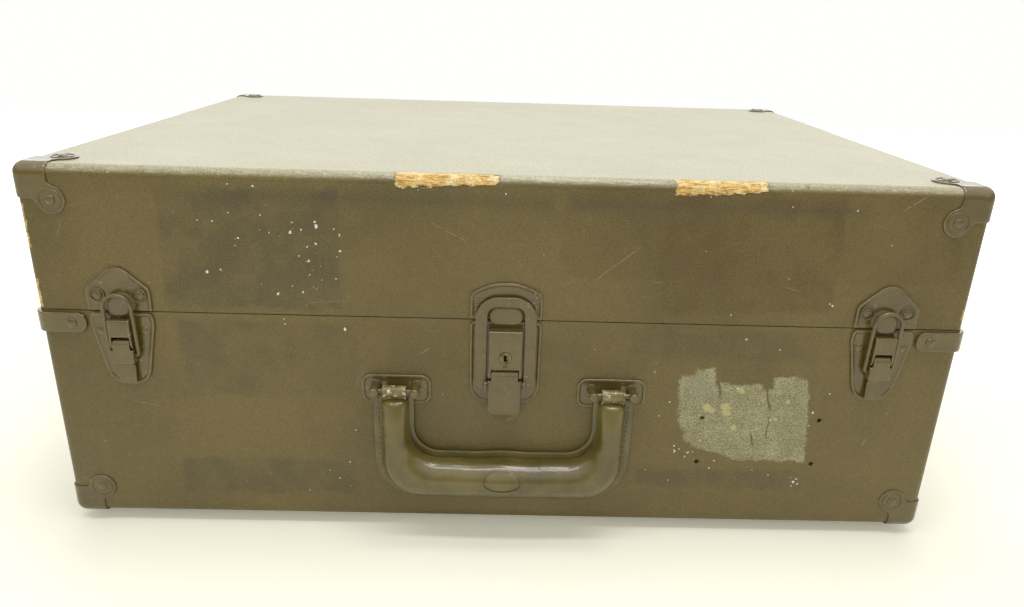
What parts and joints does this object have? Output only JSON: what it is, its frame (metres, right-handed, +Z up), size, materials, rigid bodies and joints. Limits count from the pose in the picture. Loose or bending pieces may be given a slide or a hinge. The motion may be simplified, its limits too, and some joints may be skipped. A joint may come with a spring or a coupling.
{
  "type": "film camera case",
  "caption": "Painted wooden carrying case with a hinged lid, corner caps, draw latches, a centre draw lock and a leather handle; padded bays inside.",
  "frame": {"origin": "middle of the bounding box, level with the underside of the feet", "axes": "+Z up, +X to the case's right as seen from the front, -Y out of the front that carries the latches, the lock and the handle"},
  "size_m": [0.5672, 0.4354, 0.2394],
  "materials": {
    "panels": "painted, worn",
    "inside_wood": "varnished",
    "hardware": "painted, worn",
    "plated_steel": "dull plated",
    "bare_steel": "bare, worn",
    "plug": "painted over, worn",
    "grip": "painted, glossy",
    "felt": "felt",
    "feet": "painted, worn"
  },
  "bodies": {
    "base": {"base_back": "panels", "base_bottom": "panels", "base_cap_rivets": "hardware", "base_corner_caps": "hardware", "base_front": "panels", "base_left": "panels", "base_right": "panels", "corner_straps": "hardware", "divider_cross": "inside_wood", "divider_long": "inside_wood", "feet": "feet", "floor_felt": "felt", "handle_bracket_left": "hardware", "handle_bracket_right": "hardware", "handle_pins": "plated_steel", "hinge_leaves_base": "hardware", "hinge_pins": "plated_steel", "hinge_rivets_base": "hardware", "latch_base_left": "hardware", "latch_base_right": "hardware", "latch_pins": "plated_steel", "latch_rivets": "hardware", "lock_base": "hardware", "lock_case": "hardware", "lock_pin": "plated_steel", "rim_lip": "inside_wood", "stay_studs_base": "plated_steel", "strap_rivets": "hardware"},
    "lid": {"lid_top": "panels", "lid_front": "panels", "lid_back": "panels", "lid_left": "panels", "lid_right": "panels", "lid_corner_caps": "hardware", "lid_cap_rivets": "hardware", "latch_keeper_left": "hardware", "latch_keeper_right": "hardware", "lock_keeper": "hardware", "keeper_rivets": "hardware", "hinge_leaves_lid": "hardware", "hinge_rivets_lid": "hardware", "stay_studs_lid": "plated_steel", "lid_pad": "felt"},
    "handle": {"handle_grip": "grip", "handle_loops": "bare_steel"},
    "lock_lever": {"lock_lever": "hardware", "link_pin": "plated_steel"},
    "lock_link": {"lock_link": "hardware"},
    "lock_plug": {"lock_plug": "plug"},
    "latch_lever_left": {"latch_lever_left": "hardware"},
    "latch_bail_left": {"latch_bail_left": "hardware"},
    "stay_lower_left": {"stay_lower_bar_left": "plated_steel"},
    "stay_upper_left": {"stay_upper_bar_left": "plated_steel"},
    "latch_lever_right": {"latch_lever_right": "hardware"},
    "latch_bail_right": {"latch_bail_right": "hardware"},
    "stay_lower_right": {"stay_lower_bar_right": "plated_steel"},
    "stay_upper_right": {"stay_upper_bar_right": "plated_steel"}
  },
  "joints": [
    {"name": "lid_hinge", "type": "hinge", "parent": "base", "child": "lid", "pos_m": [0, 0.21475, 0.15], "axis": [-1, 0, 0], "range_deg": [0, 100]},
    {"name": "lever_left", "type": "hinge", "parent": "base", "child": "latch_lever_left", "pos_m": [-0.23, -0.19945, 0.1314], "axis": [-1, 0, 0], "range_deg": [0, 110]},
    {"name": "bail_left", "type": "hinge", "parent": "latch_lever_left", "child": "latch_bail_left", "pos_m": [-0.23, -0.19845, 0.1232], "axis": [-1, 0, 0], "range_deg": [-126.6, 0]},
    {"name": "lever_right", "type": "hinge", "parent": "base", "child": "latch_lever_right", "pos_m": [0.23, -0.19945, 0.1314], "axis": [-1, 0, 0], "range_deg": [0, 110]},
    {"name": "bail_right", "type": "hinge", "parent": "latch_lever_right", "child": "latch_bail_right", "pos_m": [0.23, -0.19845, 0.1232], "axis": [-1, 0, 0], "range_deg": [-126.6, 0]},
    {"name": "lock_lever_hinge", "type": "hinge", "parent": "base", "child": "lock_lever", "pos_m": [0, -0.20015, 0.1166], "axis": [-1, 0, 0], "range_deg": [0, 95]},
    {"name": "lock_link_hinge", "type": "hinge", "parent": "lock_lever", "child": "lock_link", "pos_m": [0, -0.19925, 0.109], "axis": [-1, 0, 0], "range_deg": [-109.4, 0]},
    {"name": "lock_plug_turn", "type": "hinge", "parent": "base", "child": "lock_plug", "pos_m": [0, -0.20315, 0.1285], "axis": [0, -1, 0], "range_deg": [0, 90]},
    {"name": "handle_swing", "type": "hinge", "parent": "base", "child": "handle", "pos_m": [0, -0.20405, 0.1052], "axis": [-1, 0, 0], "range_deg": [0, 150]},
    {"name": "stay_lower_left", "type": "hinge", "parent": "base", "child": "stay_lower_left", "pos_m": [-0.2658, 0.13475, 0.124], "axis": [-1, 0, 0], "range_deg": [0, 100.2]},
    {"name": "stay_upper_left", "type": "hinge", "parent": "lid", "child": "stay_upper_left", "pos_m": [-0.2635, 0.13475, 0.176], "axis": [-1, 0, 0], "range_deg": [-100.2, 0]},
    {"name": "stay_lower_right", "type": "hinge", "parent": "base", "child": "stay_lower_right", "pos_m": [0.2658, 0.13475, 0.124], "axis": [-1, 0, 0], "range_deg": [0, 100.2]},
    {"name": "stay_upper_right", "type": "hinge", "parent": "lid", "child": "stay_upper_right", "pos_m": [0.2635, 0.13475, 0.176], "axis": [-1, 0, 0], "range_deg": [-100.2, 0]}
  ],
  "couplings": [
    {"joint": "bail_left", "follows": "lever_left", "ratio": -1.15},
    {"joint": "bail_right", "follows": "lever_right", "ratio": -1.15},
    {"joint": "lock_link_hinge", "follows": "lock_lever_hinge", "ratio": -1.15},
    {"joint": "stay_lower_left", "follows": "lid_hinge", "ratio": 1},
    {"joint": "stay_upper_left", "follows": "lid_hinge", "ratio": -1},
    {"joint": "stay_lower_right", "follows": "lid_hinge", "ratio": 1},
    {"joint": "stay_upper_right", "follows": "lid_hinge", "ratio": -1}
  ]
}
